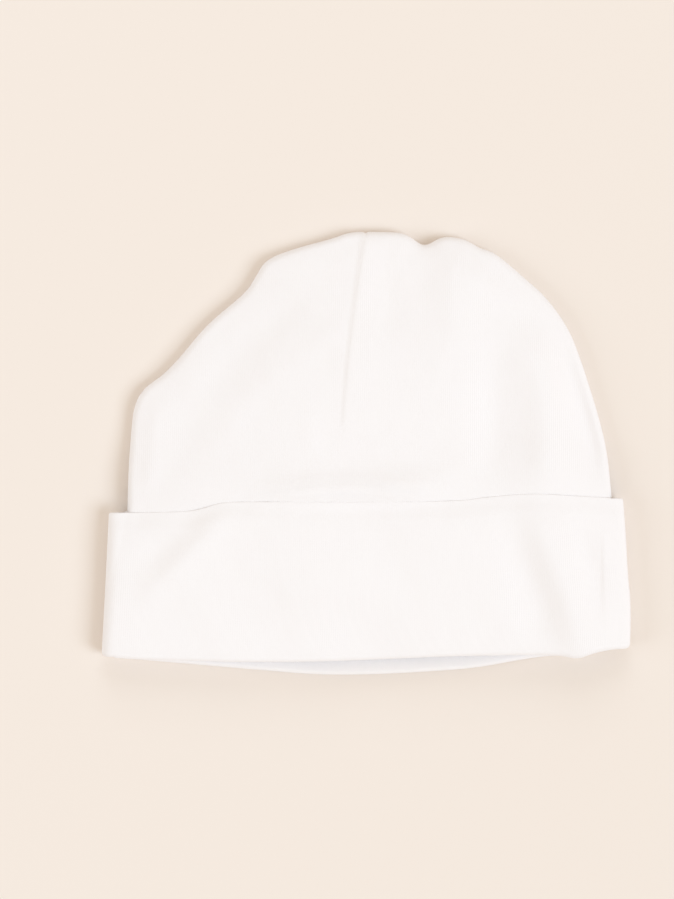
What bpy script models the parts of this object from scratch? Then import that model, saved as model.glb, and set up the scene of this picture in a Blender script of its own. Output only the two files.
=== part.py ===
"""Newborn's cap of white cotton jersey, lying flat on its back.

The domed crown has a dart down its front and another down its back. Its lower edge is sewn to
a band of doubled jersey, and the band is turned up outside the crown as a deep cuff.
X runs across the cap, Y up to the top of the crown, and Z up from the table through the back
layer, the hollow and the front layer. Lengths are in metres, and the cap's box ends up centred
over the origin, with its back on the plane Z = 0.
"""

import math
from collections import namedtuple

import bmesh
import bpy
import numpy as np
from mathutils import Vector

# Sizes of the crown. Its height is counted from the cuff's bottom fold, and its width follows
# the cuff's, which it fills.
CROWN_HEIGHT = 0.1412
CROWN_CLOTH = 0.0010
CROWN_LOFT = 0.0090
EDGE_RADIUS = 0.0024
DART_LENGTH = 0.0680
DART_LEAN = 0.0079
DART_WIDTH = 0.0026
DART_DEPTH = 0.0006

# Sizes of the turned-up cuff
CUFF_WIDTH = 0.175
CUFF_HEIGHT = 0.0520
CUFF_CLOTH = 0.0012
CUFF_LOFT = 0.0060
CUFF_SEAM_INSET = 0.0092
CUFF_SEAM_WIDTH = 0.0030
CUFF_SEAM_DEPTH = 0.0003
BACK_DROP = 0.0053

# How the pieces and layers lie on each other
JOIN_HEIGHT = 0.0200
JOIN_GAP = 0.0006
LAYER_GAP = 0.0007
CROWN_TUCK = 0.0005
LOFT_REACH = 0.0620
SETTLE_START = 0.0040
SETTLE_LENGTH = 0.0220
FOLD_WIDTH = 0.0060
FOLD_DEPTH = 0.0014
NOTCH_WIDTH = 0.0046
NOTCH_DEPTH = 0.0036

# How finely the cloth is divided
SIDE_ROWS = 9
FAN_LEFT = 11
FAN_MIDDLE = 2
FAN_NOTCHES = 12
FAN_RIGHT = 8
FRONT_ARCHES = 10
BACK_ARCHES = 4
WALL_ROWS = 8
TURN_ROWS = 5
INNER_ROWS = 3
CUFF_FRONT_COLUMNS = 25
CUFF_BACK_COLUMNS = 10
BEND_STEPS = 4
CORNER_CUTS = 2
OUTLINE_POINTS = 300
SAME_PLACE = 0.00001

# The crown's sides as seen from the front. Heights are shares of the way from the cuff's top
# edge to the crown's top, and reaches are shares of half of CUFF_WIDTH.
Side = namedtuple("Side", "height reach")
CROWN_LEFT = [
    Side(0.000, -0.901),
    Side(0.120, -0.898),
    Side(0.250, -0.890),
    Side(0.354, -0.879),
    Side(0.421, -0.841),
    Side(0.462, -0.774),
    Side(0.531, -0.705),
    Side(0.658, -0.601),
    Side(0.775, -0.451),
    Side(0.835, -0.416),
    Side(0.899, -0.378),
    Side(0.943, -0.251),
    Side(0.975, -0.123),
    Side(0.998, -0.064),
    Side(1.000, 0.000),
]
CROWN_RIGHT = [
    Side(0.000, 0.930),
    Side(0.191, 0.912),
    Side(0.302, 0.885),
    Side(0.419, 0.849),
    Side(0.533, 0.811),
    Side(0.644, 0.767),
    Side(0.762, 0.679),
    Side(0.830, 0.597),
    Side(0.908, 0.507),
    Side(0.956, 0.427),
    Side(0.978, 0.352),
    Side(0.989, 0.251),
    Side(0.998, 0.133),
    Side(1.000, 0.000),
]

# The cuff's sides: heights are shares of CUFF_HEIGHT, reaches of half of CUFF_WIDTH.
CUFF_LEFT = [
    Side(0.00, -1.000),
    Side(0.12, -0.996),
    Side(0.50, -0.984),
    Side(0.76, -0.977),
    Side(1.10, -0.966),
]
CUFF_RIGHT = [
    Side(0.00, 0.992),
    Side(0.12, 1.000),
    Side(0.38, 1.000),
    Side(0.52, 0.990),
    Side(0.82, 0.981),
    Side(1.10, 0.967),
]

# Edges that run across the cap: across is a share of half of CUFF_WIDTH, rise of CUFF_HEIGHT.
Edge = namedtuple("Edge", "across rise")
CUFF_TOP_FRONT = [
    Edge(-1.00, 0.927),
    Edge(-0.82, 0.930),
    Edge(-0.68, 0.937),
    Edge(-0.62, 0.962),
    Edge(-0.56, 0.995),
    Edge(-0.45, 1.000),
    Edge(0.00, 0.996),
    Edge(0.36, 1.003),
    Edge(0.45, 1.026),
    Edge(0.64, 1.053),
    Edge(0.80, 1.036),
    Edge(1.00, 1.018),
]
CUFF_TOP_BACK = [
    Edge(-1.00, 0.927),
    Edge(-0.60, 0.985),
    Edge(0.00, 1.000),
    Edge(0.60, 1.015),
    Edge(1.00, 1.018),
]
CUFF_BOTTOM_FRONT = [
    Edge(-1.00, 0.014),
    Edge(-0.86, -0.002),
    Edge(-0.38, -0.020),
    Edge(0.02, -0.004),
    Edge(0.28, 0.019),
    Edge(0.50, 0.025),
    Edge(0.73, 0.030),
    Edge(0.80, 0.000),
    Edge(0.86, 0.042),
    Edge(0.94, 0.066),
    Edge(1.00, 0.064),
]

# How far the back's bottom fold hangs below the front's, as shares of BACK_DROP.
Drop = namedtuple("Drop", "across share")
BACK_DROPS = [
    Drop(-1.00, 0.00),
    Drop(-0.72, 0.22),
    Drop(-0.38, 0.60),
    Drop(-0.18, 0.92),
    Drop(0.04, 1.00),
    Drop(0.26, 0.98),
    Drop(0.42, 0.85),
    Drop(0.60, 0.35),
    Drop(0.76, 0.02),
    Drop(1.00, 0.00),
]

# Soft ridges and valleys in the front layer. A fold's points are shares of half of CUFF_WIDTH
# and, up the crown, of the way from the cuff's top edge to the crown's top or, on the cuff, of
# CUFF_HEIGHT. Its width is a share of FOLD_WIDTH and its height of FOLD_DEPTH, below 0 in a
# valley.
Fold = namedtuple("Fold", "start middle end width height")
CROWN_FOLDS = [
    Fold((-0.10, 0.67), (-0.38, 0.48), (-0.66, 0.13), 0.8, -0.9),
    Fold((-0.26, 0.75), (-0.60, 0.41), (-0.76, 0.11), 1.0, 0.9),
    Fold((-0.82, 0.37), (-0.84, 0.24), (-0.84, 0.10), 0.8, -0.8),
    Fold((-0.36, 0.10), (0.00, 0.09), (0.32, 0.10), 0.8, -1.0),
    Fold((-0.80, 0.034), (0.00, 0.039), (0.86, 0.050), 0.5, 0.5),
    Fold((0.48, 0.59), (0.62, 0.37), (0.66, 0.10), 1.1, -1.2),
    Fold((0.42, 0.40), (0.40, 0.27), (0.42, 0.11), 1.1, 0.7),
    Fold((0.22, 0.94), (0.24, 0.78), (0.22, 0.62), 1.0, -1.2),
    Fold((0.42, 0.92), (0.48, 0.81), (0.54, 0.68), 0.8, -0.5),
]
CUFF_FOLDS = [
    Fold((-0.60, 0.94), (-0.66, 0.65), (-0.84, 0.43), 0.8, -1.1),
    Fold((-0.44, 0.81), (-0.52, 0.54), (-0.72, 0.27), 1.2, 0.5),
    Fold((0.58, 1.03), (0.64, 0.54), (0.79, 0.05), 1.1, -1.3),
    Fold((0.74, 0.92), (0.79, 0.54), (0.85, 0.27), 0.8, 0.6),
    Fold((-0.24, 0.49), (-0.10, 0.41), (0.06, 0.41), 2.2, -0.5),
]

# Dents in the outline where seams pull at the top: across is a share of half of CUFF_WIDTH,
# width of NOTCH_WIDTH and depth of NOTCH_DEPTH.
Notch = namedtuple("Notch", "across width depth")
NOTCHES = [
    Notch(0.220, 1.0, 1.0),
    Notch(0.432, 0.7, 0.35),
]

# A line across the crown's layers, from its outline in to the middle of the crown
Spoke = namedtuple("Spoke", "rim_x rim_y middle_x middle_y dart")

# Colours and finish
JERSEY_COLOUR = (0.93, 0.92, 0.91, 1.0)
JERSEY_ROUGHNESS = 0.9

# Sizes that follow from the ones above
HALF_WIDTH = CUFF_WIDTH / 2
CROWN_RISE = CROWN_HEIGHT - CUFF_HEIGHT
CROWN_INSET = CUFF_CLOTH + LAYER_GAP
CUFF_RADIUS = EDGE_RADIUS + CROWN_INSET
TURN_RADIUS = CUFF_CLOTH + LAYER_GAP / 2
NOTCH_REACH = 3 * NOTCH_WIDTH
SETTLE_FROM = CUFF_HEIGHT + SETTLE_START
SPINE_TOP = CROWN_HEIGHT - DART_LENGTH
DART_TOP = 0.0
SPINE_X = DART_TOP - DART_LEAN
CUFF_SEAM_ACROSS = 1 - CUFF_SEAM_INSET / HALF_WIDTH


def between(low, high, share):
    """The value that lies this share of the way from low to high."""
    return low + (high - low) * share


def smooth_step(value):
    """0 below 0, 1 above 1, and a smooth S between them."""
    value = min(max(value, 0.0), 1.0)
    return value * value * (3 - 2 * value)


def spaced(start, end, count):
    """Evenly spaced values from start to end, without start and end themselves."""
    return [between(start, end, (i + 1) / (count + 1)) for i in range(count)]


def cut_corners(points):
    """Rounds a polyline by cutting each corner at a quarter and three quarters of its sides."""
    for _ in range(CORNER_CUTS):
        rounded = [points[0]]
        for here, there in zip(points, points[1:]):
            rounded.append(tuple(between(a, b, 0.25) for a, b in zip(here, there)))
            rounded.append(tuple(between(a, b, 0.75) for a, b in zip(here, there)))
        points = rounded + [points[-1]]
    return np.array(points)


def scaled_curve(rows, first_scale, second_scale, first_start=0.0):
    """A table of two columns as a rounded curve in metres."""
    curve = cut_corners([tuple(row) for row in rows])
    return curve * np.array([first_scale, second_scale]) + np.array([first_start, 0.0])


def fold_path(fold, height, start_height):
    """The middle line of a fold in metres, its second column counted up from start_height."""
    curve = cut_corners([fold.start, fold.middle, fold.end])
    return curve * np.array([HALF_WIDTH, height]) + np.array([0.0, start_height])


LEFT_SIDE = scaled_curve(CROWN_LEFT, CROWN_RISE, HALF_WIDTH, CUFF_HEIGHT)
RIGHT_SIDE = scaled_curve(CROWN_RIGHT, CROWN_RISE, HALF_WIDTH, CUFF_HEIGHT)
CUFF_LEFT_SIDE = scaled_curve(CUFF_LEFT, CUFF_HEIGHT, HALF_WIDTH)
CUFF_RIGHT_SIDE = scaled_curve(CUFF_RIGHT, CUFF_HEIGHT, HALF_WIDTH)
FRONT_TOP = scaled_curve(CUFF_TOP_FRONT, 1.0, CUFF_HEIGHT)
BACK_TOP = scaled_curve(CUFF_TOP_BACK, 1.0, CUFF_HEIGHT)
FRONT_BOTTOM = scaled_curve(CUFF_BOTTOM_FRONT, 1.0, CUFF_HEIGHT)
BACK_FALL = scaled_curve(BACK_DROPS, 1.0, BACK_DROP)
FOLD_PATHS = [(fold, fold_path(fold, CROWN_RISE, CUFF_HEIGHT)) for fold in CROWN_FOLDS]
FOLD_PATHS += [(fold, fold_path(fold, CUFF_HEIGHT, 0.0)) for fold in CUFF_FOLDS]


def read_curve(curve, value):
    """Second column of a curve where its first column has this value."""
    return float(np.interp(value, curve[:, 0], curve[:, 1]))


def running_length(points):
    """Length along a polyline from its first point to each of its points."""
    steps = np.hypot(*np.diff(points, axis=0).T)
    return np.concatenate([[0.0], np.cumsum(steps)])


def polyline_distance(points, x, y):
    """Distance from (x, y) to a polyline of two-column points."""
    start, end = points[:-1], points[1:]
    along = end - start
    place = np.array([x, y])
    share = ((place - start) * along).sum(axis=1) / (along**2).sum(axis=1)
    nearest = start + along * np.clip(share, 0.0, 1.0)[:, None]
    return float(np.sqrt(((nearest - place) ** 2).sum(axis=1).min()))


def crown_sides(y):
    """X of the crown's sides at height y: from just inside the cuff's out to its own outline."""
    freed = smooth_step((y - JOIN_HEIGHT) / (CUFF_HEIGHT - JOIN_HEIGHT))
    in_cuff_left = read_curve(CUFF_LEFT_SIDE, y) + CROWN_INSET
    in_cuff_right = read_curve(CUFF_RIGHT_SIDE, y) - CROWN_INSET
    left = between(in_cuff_left, read_curve(LEFT_SIDE, y), freed)
    right = between(in_cuff_right, read_curve(RIGHT_SIDE, y), freed)
    return left, right


def notched(x, y):
    """Height of the outline's point (x, y) once the dents at the top are taken out of it."""
    fall = 0.0
    near_top = smooth_step(1 - (CROWN_HEIGHT - y) / NOTCH_REACH)
    for notch in NOTCHES:
        away = (x - notch.across * HALF_WIDTH) / (notch.width * NOTCH_WIDTH)
        fall += notch.depth * NOTCH_DEPTH * math.exp(-away * away)
    return y - fall * near_top


def crown_outline():
    """The crown's outline in plan, up its left side, over its top and down its right side."""
    hidden = [CUFF_HEIGHT * share for share in (0.0, *spaced(0.0, 1.0, SIDE_ROWS))]
    left = [(crown_sides(y)[0], y) for y in hidden]
    left += [(reach, height) for height, reach in LEFT_SIDE]
    right = [(crown_sides(y)[1], y) for y in hidden]
    right += [(reach, height) for height, reach in RIGHT_SIDE[:-1]]
    curve = np.array([*left, *reversed(right)])
    lengths = running_length(curve)
    fine = np.linspace(0.0, lengths[-1], OUTLINE_POINTS)
    places = zip(np.interp(fine, lengths, curve[:, 0]), np.interp(fine, lengths, curve[:, 1]))
    dented = [(x, notched(x, y)) for x, y in places]
    foot_left = (dented[0][0], -CUFF_HEIGHT)
    foot_right = (dented[-1][0], -CUFF_HEIGHT)
    return np.array([foot_left, *dented, foot_right])


OUTLINE = crown_outline()
OUTLINE_LENGTHS = running_length(OUTLINE)
TOP_POINT = int(np.argmax(OUTLINE[:, 1]))


def rim_point(length):
    """Point of the outline this far along it from its left foot."""
    x = float(np.interp(length, OUTLINE_LENGTHS, OUTLINE[:, 0]))
    y = float(np.interp(length, OUTLINE_LENGTHS, OUTLINE[:, 1]))
    return x, y


def rim_length_at_side(y, side):
    """How far along the outline its left (side 0) or right (side 1) reaches height y."""
    if side:
        heights, lengths = OUTLINE[:TOP_POINT:-1, 1], OUTLINE_LENGTHS[:TOP_POINT:-1]
    else:
        heights, lengths = OUTLINE[:TOP_POINT, 1], OUTLINE_LENGTHS[:TOP_POINT]
    return float(np.interp(y, heights, lengths))


def rim_length_above(x):
    """How far along the outline the place at the top of the crown above this x is."""
    over = OUTLINE[:, 1] > SPINE_TOP
    return float(np.interp(x, OUTLINE[over, 0], OUTLINE_LENGTHS[over]))


def inside_distance(x, y):
    """Distance from (x, y) in to the crown's outline, or 0 outside it."""
    left, right = crown_sides(y)
    if not left < x < right:
        return 0.0
    return polyline_distance(OUTLINE, x, y)


def bend(distance, radius):
    """Half the thickness of folded cloth at a distance from its rounded edge."""
    if distance >= radius:
        return radius
    return math.sqrt(max(radius**2 - (radius - distance) ** 2, 0.0))


def bend_angles():
    """Angles of the steps round one folded side, from its edge to where the cloth lies flat."""
    return [math.pi / 2 * step / BEND_STEPS for step in range(BEND_STEPS + 1)]


def folds(x, y):
    """Height that the soft ridges and valleys add to the front layer."""
    total = 0.0
    for fold, path in FOLD_PATHS:
        away = polyline_distance(path, x, y) / (fold.width * FOLD_WIDTH)
        total += fold.height * FOLD_DEPTH * math.exp(-away * away)
    return total


def loft(x, y):
    """How far the front layer stands above closely folded cloth at (x, y)."""
    distance = inside_distance(x, y)
    spread = 1 - min(distance / LOFT_REACH, 1.0)
    above_cuff = smooth_step((y - SETTLE_FROM) / (2 * SETTLE_LENGTH))
    height = between(CUFF_LOFT, CROWN_LOFT, above_cuff)
    past_edge = smooth_step(distance / (2 * EDGE_RADIUS))
    return height * (1 - spread * spread) + folds(x, y) * past_edge


def crown_middle(y):
    """Height of the crown's folded sides above the table, which sink to it past the cuff."""
    settled = smooth_step((y - SETTLE_FROM) / SETTLE_LENGTH)
    return between(CUFF_RADIUS, EDGE_RADIUS, settled)


def fan_lengths():
    """Lengths along the outline where the fan's spokes end, and which of them is the dart's."""
    half_dart = DART_WIDTH / 2
    first_dent = NOTCHES[0].across * HALF_WIDTH - NOTCH_WIDTH
    last_dent = NOTCHES[-1].across * HALF_WIDTH + NOTCH_WIDTH
    marks = [DART_TOP - half_dart, DART_TOP, DART_TOP + half_dart, first_dent, last_dent]
    ends = [rim_length_at_side(SPINE_TOP, 0)]
    ends += [rim_length_above(mark) for mark in marks]
    ends += [rim_length_at_side(SPINE_TOP, 1)]
    counts = [FAN_LEFT, 0, 0, FAN_MIDDLE, FAN_NOTCHES, FAN_RIGHT]
    dart = rim_length_above(DART_TOP)
    found = []
    for start, end, count in zip(ends, ends[1:], counts):
        found.append((start, start == dart))
        found += [(length, False) for length in spaced(start, end, count)]
    return found + [(ends[-1], False)]


def crown_spokes():
    """Lines from the crown's middle out to its outline, from the left foot over the top.

    Up to SPINE_TOP they run straight across, and above it they open like a fan round the place
    where the darts end.
    """
    foot = JOIN_HEIGHT + JOIN_GAP
    heights = [between(foot, SPINE_TOP, row / SIDE_ROWS) for row in range(SIDE_ROWS)]
    spokes = [Spoke(crown_sides(y)[0], y, SPINE_X, y, False) for y in heights]
    for length, is_dart in fan_lengths():
        x, y = rim_point(length)
        spokes.append(Spoke(x, y, SPINE_X, SPINE_TOP, is_dart))
    spokes += [Spoke(crown_sides(y)[1], y, SPINE_X, y, False) for y in reversed(heights)]
    return spokes


def spoke_length(spoke):
    """Distance from the outline in to the crown's middle along a spoke."""
    return math.hypot(spoke.middle_x - spoke.rim_x, spoke.middle_y - spoke.rim_y)


def ring_distances(spoke, arches):
    """Distances in from the outline: close together round the folded edge, then even."""
    reach = spoke_length(spoke)
    edge = [EDGE_RADIUS * (1 - math.cos(angle)) for angle in bend_angles()]
    return edge + spaced(EDGE_RADIUS, reach, arches) + [reach]


def crown_point(spoke, inwards, side):
    """Point of the crown's front (side 1) or back (side -1) this far in along a spoke."""
    share = inwards / spoke_length(spoke)
    x = between(spoke.rim_x, spoke.middle_x, share)
    y = between(spoke.rim_y, spoke.middle_y, share)
    thick = bend(polyline_distance(OUTLINE, x, y), EDGE_RADIUS)
    past_edge = smooth_step(inwards / (2 * EDGE_RADIUS))
    if spoke.dart:
        thick -= DART_DEPTH * past_edge * (y - SPINE_TOP) / DART_LENGTH
    z = crown_middle(y) + side * thick
    if side > 0:
        under_cuff = 1 - smooth_step((y - SETTLE_FROM) / SETTLE_START)
        z += loft(x, y) - CROWN_TUCK * past_edge * under_cuff
    return (x, y, z)


def cuff_columns():
    """Places round the cuff: (layer, side or None, bend angle, share across), front first."""
    bends = bend_angles()
    half_seam = CUFF_SEAM_WIDTH / 2 / HALF_WIDTH
    flat = 1 - CUFF_RADIUS / HALF_WIDTH
    seam = [CUFF_SEAM_ACROSS - half_seam, CUFF_SEAM_ACROSS, CUFF_SEAM_ACROSS + half_seam]
    front = spaced(-flat, seam[0], CUFF_FRONT_COLUMNS) + seam + spaced(seam[-1], flat, 1)
    back = spaced(-flat, flat, CUFF_BACK_COLUMNS)
    columns = [("front", "left", angle, -1.0) for angle in bends]
    columns += [("front", None, 0.0, across) for across in front]
    columns += [("front", "right", angle, 1.0) for angle in reversed(bends)]
    columns += [("back", "right", angle, 1.0) for angle in bends[1:]]
    columns += [("back", None, 0.0, across) for across in reversed(back)]
    columns += [("back", "left", angle, -1.0) for angle in reversed(bends[1:])]
    return columns


def cuff_point(column, y, inset):
    """A point of the cuff at height y, this far in from its outer face."""
    layer, side, angle, across = column
    left, right = read_curve(CUFF_LEFT_SIDE, y), read_curve(CUFF_RIGHT_SIDE, y)
    radius = CUFF_RADIUS - inset
    thick = radius
    if side is None:
        x = between(left, right, (across + 1) / 2)
    else:
        thick = radius * math.sin(angle)
        in_from_edge = inset + radius * (1 - math.cos(angle))
        x = left + in_from_edge if side == "left" else right - in_from_edge
    if layer == "back":
        return (x, y, CUFF_RADIUS - thick)
    groove = 0.0
    if across == CUFF_SEAM_ACROSS:
        groove = CUFF_SEAM_DEPTH * max(1 - inset / TURN_RADIUS, 0.0)
    return (x, y, CUFF_RADIUS + thick + loft(x, y) - groove)


def cuff_edges(column):
    """Heights of the cuff's bottom fold and of its free edge at one place round it."""
    layer, _, _, across = column
    bottom = read_curve(FRONT_BOTTOM, across)
    if layer == "front":
        return bottom, read_curve(FRONT_TOP, across)
    return bottom - read_curve(BACK_FALL, across), read_curve(BACK_TOP, across)


def cuff_rings():
    """Rows of the cuff's outer face: down its outside, round the bottom fold, up its inside."""
    columns = cuff_columns()
    rings = []
    for row in range(WALL_ROWS):
        ring = []
        for column in columns:
            bottom, top = cuff_edges(column)
            y = between(top, bottom + TURN_RADIUS, row / WALL_ROWS)
            ring.append(cuff_point(column, y, 0.0))
        rings.append(ring)
    for row in range(TURN_ROWS + 1):
        turn = math.pi * row / TURN_ROWS
        ring = []
        for column in columns:
            bottom, _ = cuff_edges(column)
            y = bottom + TURN_RADIUS * (1 - math.sin(turn))
            ring.append(cuff_point(column, y, TURN_RADIUS * (1 - math.cos(turn))))
        rings.append(ring)
    for row in range(INNER_ROWS):
        ring = []
        for column in columns:
            bottom, _ = cuff_edges(column)
            y = between(bottom + TURN_RADIUS, JOIN_HEIGHT, (row + 1) / INNER_ROWS)
            ring.append(cuff_point(column, y, 2 * TURN_RADIUS))
        rings.append(ring)
    return rings


def jersey_material(name):
    """Soft, matt white cotton jersey."""
    material = bpy.data.materials.new(name)
    material.use_nodes = True
    shader = material.node_tree.nodes["Principled BSDF"]
    shader.inputs["Base Color"].default_value = JERSEY_COLOUR
    shader.inputs["Roughness"].default_value = JERSEY_ROUGHNESS
    shader.inputs["Metallic"].default_value = 0.0
    return material


def cloth_shell(name, lines, closed, thickness):
    """A sewn shell of cloth: lines of points as its outer face, thickened inwards.

    The points of each line follow each other along the face, and a closed line ends where it
    starts. Points that lie in one place, as where spokes meet, are merged.
    """
    size = len(lines[0])
    points = [point for line in lines for point in line]
    faces = []
    for i in range(len(lines) - 1):
        for j in range(size if closed else size - 1):
            here, along = i * size + j, i * size + (j + 1) % size
            faces.append((here, here + size, along + size, along))
    mesh = bpy.data.meshes.new(name)
    mesh.from_pydata(points, [], faces)
    grid = bmesh.new()
    grid.from_mesh(mesh)
    bmesh.ops.remove_doubles(grid, verts=grid.verts, dist=SAME_PLACE)
    grid.to_mesh(mesh)
    grid.free()
    mesh.shade_smooth()
    mesh.materials.append(jersey_material(name + "_jersey"))
    shell = bpy.data.objects.new(name, mesh)
    bpy.context.scene.collection.objects.link(shell)
    wall = shell.modifiers.new("cloth", "SOLIDIFY")
    wall.thickness = thickness
    wall.offset = -1.0
    wall.use_even_offset = True
    return shell


def make_crown():
    """The domed crown: arches from the middle of the front round the edge to that of the back."""
    lines = []
    for spoke in crown_spokes():
        front = ring_distances(spoke, FRONT_ARCHES)
        back = ring_distances(spoke, BACK_ARCHES)
        line = [crown_point(spoke, inwards, 1) for inwards in reversed(front)]
        line += [crown_point(spoke, inwards, -1) for inwards in back[1:]]
        lines.append(line)
    return cloth_shell("crown", lines, False, CROWN_CLOTH)


def make_cuff():
    """The band of doubled jersey, turned up outside the crown and sewn to its lower edge."""
    return cloth_shell("cuff", cuff_rings(), True, CUFF_CLOTH)


def centre_over_origin(pieces):
    """Moves the whole cap so that its box is centred over the origin and stands on Z = 0."""
    bpy.context.view_layer.update()
    graph = bpy.context.evaluated_depsgraph_get()
    corners = []
    for piece in pieces:
        shown = piece.evaluated_get(graph)
        corners += [shown.matrix_world @ Vector(corner) for corner in shown.bound_box]
    low = Vector(min(corner[axis] for corner in corners) for axis in range(3))
    high = Vector(max(corner[axis] for corner in corners) for axis in range(3))
    foot = Vector(((low.x + high.x) / 2, (low.y + high.y) / 2, low.z))
    for piece in pieces:
        piece.location -= foot


def main():
    for item in list(bpy.data.objects):
        bpy.data.objects.remove(item)
    centre_over_origin([make_crown(), make_cuff()])
    bpy.context.view_layer.update()


main()
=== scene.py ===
# %% [markdown]
# # A newborn's jersey cap, lying flat
# The cap is two sewn pieces of white cotton jersey: a domed crown with a dart down its front and
# its back, and a band of doubled jersey that is turned up outside it as a deep cuff. The packed
# model already holds both at their true size, as plain walls. This lesson gives them the finish
# of real cloth: finer outlines, soft folds, seams, and a knitted surface.
# Cloth this thin could be simulated, but a simulation finds folds of its own. Here the folds have
# to lie where they lie on the real cap, so every surface is a formula on a grid of points.

import math
from collections import namedtuple

import bmesh
import bpy
import numpy as np
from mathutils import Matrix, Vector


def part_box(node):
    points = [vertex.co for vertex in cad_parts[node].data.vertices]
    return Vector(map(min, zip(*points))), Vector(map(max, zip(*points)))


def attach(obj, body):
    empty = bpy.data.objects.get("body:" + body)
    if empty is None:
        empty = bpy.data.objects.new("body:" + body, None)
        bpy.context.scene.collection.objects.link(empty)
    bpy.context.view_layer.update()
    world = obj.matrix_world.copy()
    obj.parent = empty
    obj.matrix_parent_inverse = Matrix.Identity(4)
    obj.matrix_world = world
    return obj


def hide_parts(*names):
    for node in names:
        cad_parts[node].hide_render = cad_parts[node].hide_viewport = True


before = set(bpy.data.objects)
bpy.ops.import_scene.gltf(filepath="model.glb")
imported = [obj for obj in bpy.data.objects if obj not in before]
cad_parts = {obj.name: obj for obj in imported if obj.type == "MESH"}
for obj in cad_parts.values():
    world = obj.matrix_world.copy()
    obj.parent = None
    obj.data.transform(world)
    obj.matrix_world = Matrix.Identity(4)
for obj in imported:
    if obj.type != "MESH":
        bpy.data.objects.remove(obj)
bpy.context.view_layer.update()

# %% [markdown]
# ## Sizes
# The cuff's width and the crown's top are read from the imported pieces. The other sizes are the
# thicknesses and gaps that the cloth has, in metres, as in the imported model. Heights up the cap
# are counted from the line where the cuff is folded.

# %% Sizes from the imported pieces, and the cloth's own
cuff_low, cuff_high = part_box("cuff")
HALF_WIDTH = (cuff_high.x - cuff_low.x) / 2
MIDDLE_X = (cuff_high.x + cuff_low.x) / 2
CROWN_HEIGHT = 0.1412
CUFF_HEIGHT = 0.0520
FOLD_LINE_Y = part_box("crown")[1].y - CROWN_HEIGHT
CROWN_RISE = CROWN_HEIGHT - CUFF_HEIGHT

CROWN_CLOTH = 0.0010
CROWN_LOFT = 0.0076
EDGE_RADIUS = 0.0024
CUFF_CLOTH = 0.0012
CUFF_LOFT = 0.0054
LAYER_GAP = 0.0007
CROWN_TUCK = 0.0005
JOIN_HEIGHT = 0.0200
JOIN_GAP = 0.0006
LOFT_REACH = 0.0620
SETTLE_FROM = CUFF_HEIGHT + 0.0040
SETTLE_LENGTH = 0.0220
CROWN_INSET = CUFF_CLOTH + LAYER_GAP
CUFF_RADIUS = EDGE_RADIUS + CROWN_INSET
TURN_RADIUS = CUFF_CLOTH + LAYER_GAP / 2
print("half width, mm:", round(1000 * HALF_WIDTH, 2))
print("fold line's y, mm:", round(1000 * FOLD_LINE_Y, 2))

# %% [markdown]
# ## The outline of the cap
# Laid flat, the cap shows its shape best in its outline: two soft corners on the left, where the
# cloth is folded under, and two small dents beside the top, where the back seam pulls. An outline
# could be drawn as a Bezier curve by hand. Short tables of shares keep it tied to the cap's
# sizes instead, and cutting the corners of a table's polyline rounds it.

# %% Tables of the outline
Side = namedtuple("Side", "height reach")
CROWN_LEFT = [
    Side(0.000, -0.901),
    Side(0.120, -0.898),
    Side(0.250, -0.890),
    Side(0.354, -0.879),
    Side(0.421, -0.841),
    Side(0.462, -0.774),
    Side(0.531, -0.705),
    Side(0.658, -0.601),
    Side(0.775, -0.451),
    Side(0.835, -0.416),
    Side(0.899, -0.378),
    Side(0.943, -0.251),
    Side(0.975, -0.123),
    Side(0.998, -0.064),
    Side(1.000, 0.000),
]
CROWN_RIGHT = [
    Side(0.000, 0.930),
    Side(0.191, 0.912),
    Side(0.302, 0.885),
    Side(0.419, 0.849),
    Side(0.533, 0.811),
    Side(0.644, 0.767),
    Side(0.762, 0.679),
    Side(0.830, 0.597),
    Side(0.908, 0.507),
    Side(0.956, 0.427),
    Side(0.978, 0.352),
    Side(0.989, 0.251),
    Side(0.998, 0.133),
    Side(1.000, 0.000),
]
CUFF_LEFT = [
    Side(0.00, -1.000),
    Side(0.12, -0.996),
    Side(0.50, -0.984),
    Side(0.76, -0.977),
    Side(1.10, -0.966),
]
CUFF_RIGHT = [
    Side(0.00, 0.992),
    Side(0.12, 1.000),
    Side(0.38, 1.000),
    Side(0.52, 0.990),
    Side(0.82, 0.981),
    Side(1.10, 0.967),
]
print("widest, as shares of half the width:", CUFF_LEFT[0].reach, CUFF_RIGHT[1].reach)

# %% Tables of the cuff's edges
Edge = namedtuple("Edge", "across rise")
CUFF_TOP_FRONT = [
    Edge(-1.00, 0.927),
    Edge(-0.82, 0.930),
    Edge(-0.68, 0.937),
    Edge(-0.62, 0.962),
    Edge(-0.56, 0.995),
    Edge(-0.45, 1.000),
    Edge(0.00, 0.996),
    Edge(0.36, 1.003),
    Edge(0.45, 1.026),
    Edge(0.64, 1.053),
    Edge(0.80, 1.036),
    Edge(1.00, 1.018),
]
CUFF_TOP_BACK = [
    Edge(-1.00, 0.927),
    Edge(-0.60, 0.985),
    Edge(0.00, 1.000),
    Edge(0.60, 1.015),
    Edge(1.00, 1.018),
]
CUFF_BOTTOM_FRONT = [
    Edge(-1.00, 0.014),
    Edge(-0.86, -0.002),
    Edge(-0.38, -0.020),
    Edge(0.02, -0.004),
    Edge(0.28, 0.019),
    Edge(0.50, 0.025),
    Edge(0.73, 0.030),
    Edge(0.80, 0.000),
    Edge(0.86, 0.042),
    Edge(0.94, 0.066),
    Edge(1.00, 0.064),
]
BACK_DROP = 0.0053
Drop = namedtuple("Drop", "across share")
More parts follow.
